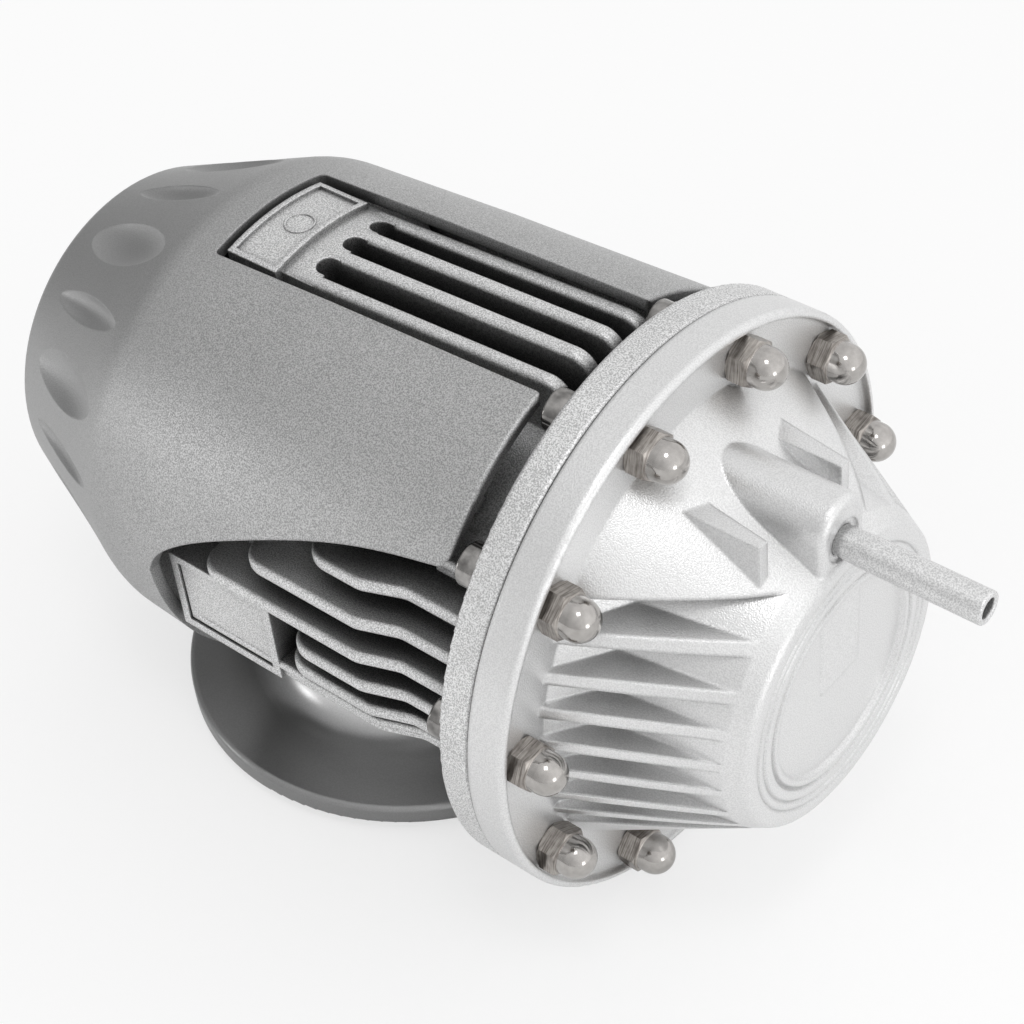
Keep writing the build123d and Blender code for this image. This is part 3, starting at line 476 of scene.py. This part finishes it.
def addPiece(name, shape, material, body="housing"):
    # Turns a bmesh into an object at the origin that rides on a body
    mesh = bpy.data.meshes.new(name)
    shape.to_mesh(mesh)
    shape.free()
    mesh.materials.append(material)
    thing = bpy.data.objects.new(name, mesh)
    bpy.context.scene.collection.objects.link(thing)
    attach(thing, body)
    return thing


def smoothFaces(thing):
    for face in thing.data.polygons:
        face.use_smooth = True


# Springs and diaphragm: merged copies of the frame's solids
softSettings = {
    "mainCoil": {
        "node": "main_spring",
        "finish": "springSteel",
        "merge": 0.000002,
        "joint": "spindle_slide",
        "fixedEnd": 0.0846,
        "keep": 0.711,
    },
    "secondaryCoil": {
        "node": "secondary_spring",
        "finish": "springSteel",
        "merge": 0.00012,  # its mesh is finer than it needs to be
        "joint": "secondary_slide",
        "fixedEnd": 0.0400,
        "keep": 0.895,
    },
    "rollingDiaphragm": {
        "node": "diaphragm",
        "finish": "blackRubber",
        "merge": 0.000002,
        "joint": "spindle_slide",
        "fixedEnd": 0.0564,
        "keep": 0.12,
    },
}


creaseAngle = 35  # degrees, sharper edges stay sharp


def makeSoftPieces(settings, materials):
    for name, piece in settings.items():
        shape = bmesh.new()
        shape.from_mesh(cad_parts[piece["node"]].data)
        bmesh.ops.remove_doubles(shape, verts=shape.verts, dist=piece["merge"])
        thing = addPiece(name, shape, materials[piece["finish"]])
        smoothFaces(thing)
        thing.data.set_sharp_from_angle(angle=math.radians(creaseAngle))
        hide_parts(piece["node"])
        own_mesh(thing)


# The faint raised ring on the pad
padRingSettings = {
    "centre": (-0.0139, 0.0, 0.08715),
    "radius": 0.0024,
    "wire": 0.00024,
    "wireSides": 12,
    "steps": 48,
    "merge": 0.000001,
}


def makePadRing(settings, material):
    shape = bmesh.new()
    upright = Matrix.Rotation(math.radians(90), 4, "X")
    bmesh.ops.create_circle(shape, segments=settings["wireSides"], radius=settings["wire"], matrix=upright)
    bmesh.ops.translate(shape, verts=shape.verts, vec=(settings["radius"], 0, 0))
    bmesh.ops.spin(
        shape,
        geom=shape.verts[:] + shape.edges[:],
        cent=(0, 0, 0),
        axis=(0, 0, 1),
        angle=math.radians(360),
        steps=settings["steps"],
        use_merge=True,
    )
    bmesh.ops.remove_doubles(shape, verts=shape.verts, dist=settings["merge"])
    bmesh.ops.recalc_face_normals(shape, faces=shape.faces)
    bmesh.ops.translate(shape, verts=shape.verts, vec=settings["centre"])
    smoothFaces(addPiece("padRing", shape, material))


# Flat pieces of the casting on both flanks, each standing out from the main axis at an angle above level:
# the shallow floor of the framed pocket, and a rail under the shroud that closes the view through its gap
flankSettings = {
    "pocketFloor": {
        "along": (-0.0125, 0.0064),
        "reach": (0.0350, 0.0389),
        "width": 0.0129,
        "lift": -0.0076,
        "angle": 0.0,
    },
    "flankRail": {
        "along": (0.0040, 0.0400),
        "reach": (0.0322, 0.0402),
        "width": 0.0026,
        "lift": 0.0,
        "angle": 50.0,
    },
}
flankEdge = {"radius": 0.0005, "segments": 3}
axisHeight = 0.0462
flankSides = {"right": -1, "left": 1}


def makeFlankPiece(name, piece, side, material):
    shape = bmesh.new()
    bmesh.ops.create_grid(shape, x_segments=1, y_segments=1, size=0.5)
    rear, front = piece["along"]
    low, high = piece["reach"]
    bmesh.ops.scale(shape, verts=shape.verts, vec=(front - rear, piece["width"], 1))
    raised = bmesh.ops.extrude_face_region(shape, geom=shape.faces[:])["geom"]
    corners = [part for part in raised if isinstance(part, bmesh.types.BMVert)]
    bmesh.ops.translate(shape, verts=corners, vec=(0, 0, high - low))
    rim = [edge for edge in shape.edges if all(vert in corners for vert in edge.verts)]
    bmesh.ops.bevel(
        shape,
        geom=rim,
        offset=flankEdge["radius"],
        segments=flankEdge["segments"],
        profile=0.5,
        affect="EDGES",
        material=-1,
    )
    bmesh.ops.recalc_face_normals(shape, faces=shape.faces)
    # Its reach turns from upright to its place on the flank
    turn = Matrix.Rotation(math.radians(side * (piece["angle"] - 90)), 4, "X")
    middle = Matrix.Translation(((rear + front) / 2, -side * piece["lift"], low))
    place = Matrix.Translation((0, 0, axisHeight)) @ turn @ middle
    bmesh.ops.transform(shape, matrix=place, verts=shape.verts)
    addPiece(name, shape, material)


def makeFlankPieces(settings, material):
    for name, piece in settings.items():
        for sideName, side in flankSides.items():
            makeFlankPiece(f"{name}_{sideName}", piece, side, material)


makeCamera(cameraSettings)
makeLamps(lampSettings)
materials = makeMaterials()
print("camera, lamps and materials made")
makeSoftPieces(softSettings, materials)
makePadRing(padRingSettings, materials["bodyMetal"])
print("springs, diaphragm and pad ring made")
makeFlankPieces(flankSettings, materials["bodyMetal"])
print("flank pieces made")

# Finish of every part that is shown as the frame has it
nodeFinishes = {
    "valve_body": "bodyMetal",
    "diaphragm_cap": "capMetal",
    "outer_shroud": "shroudMetal",
    "vacuum_nipple": "nippleMetal",
    "outlet_nozzle": "turnedMetal",
    "inlet_seal": "blackRubber",
    "shaft_bush": "bronze",
    "shaft_seal": "blackRubber",
    "diaphragm": "blackRubber",
    "front_plate": "turnedMetal",
    "rear_plate": "turnedMetal",
    "spindle": "steel",
    "stem_nut": "steel",
    "stop_nut": "steel",
    "stop_washer": "steel",
    "secondary_valve": "turnedMetal",
    "secondary_seal": "blackRubber",
    "primary_valve": "turnedMetal",
    "primary_seal": "blackRubber",
    "main_spring": "steel",
    "secondary_spring": "steel",
}
boltCount = 10
for number in range(1, boltCount + 1):
    nodeFinishes[f"flange_screw_{number}"] = "screwChrome"
    nodeFinishes[f"cap_nut_{number}"] = "nutChrome"
for nodeName, finish in nodeFinishes.items():
    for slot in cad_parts[nodeName].material_slots:
        slot.material = materials[finish]
print("finishes given to the frame's own parts")


def makeStage(settings):
    plane = bmesh.new()
    bmesh.ops.create_grid(plane, x_segments=1, y_segments=1, size=settings["floorSize"])
    bmesh.ops.translate(plane, verts=plane.verts, vec=(0, 0, settings["floorHeight"]))
    mesh = bpy.data.meshes.new("floor")
    plane.to_mesh(mesh)
    plane.free()
    floor = bpy.data.objects.new("floor", mesh)
    bpy.context.scene.collection.objects.link(floor)
    sheet = Sheet("paleFloor")
    lit = sheet.node("ShaderNodeBsdfDiffuse", {}, {"Color": settings["floorColour"]})
    pale = sheet.node("ShaderNodeEmission", {}, {"Color": white, "Strength": 1.0})
    factor = sheet.paleShare(settings["mirroredWhite"]) * (1 - settings["floorShadow"])
    mesh.materials.append(sheet.finish(sheet.node("ShaderNodeMixShader", {}, {0: factor, 1: lit, 2: pale})))


def makeWorld(settings):
    # White for the camera, and for the object a soft room that is not as bright on each side
    world = bpy.data.worlds.new("studio")
    world.use_nodes = True
    sheet = Sheet("", world)
    way = sheet.node("ShaderNodeTexCoord", {}, {}, "Generated")
    glow = 0.0
    for axis, (minus, plus) in settings["sides"].items():
        reach = sheet.node("ShaderNodeSeparateXYZ", {}, {"Vector": way}, axis)
        ahead = sheet.node("ShaderNodeMath", {"operation": "GREATER_THAN"}, {0: reach, 1: 0.0})
        glow = glow + reach * reach * (minus + ahead * (plus - minus))
    colour = sheet.blend(sheet.paleShare(settings["mirroredWhite"]), glow, white)
    sheet.finish(sheet.node("ShaderNodeBackground", {}, {"Color": colour, "Strength": 1.0}))
    bpy.context.scene.world = world


makeStage(stageSettings)
makeWorld(stageSettings)
bpy.context.scene.view_settings.view_transform = "Standard"
print("floor and room made")
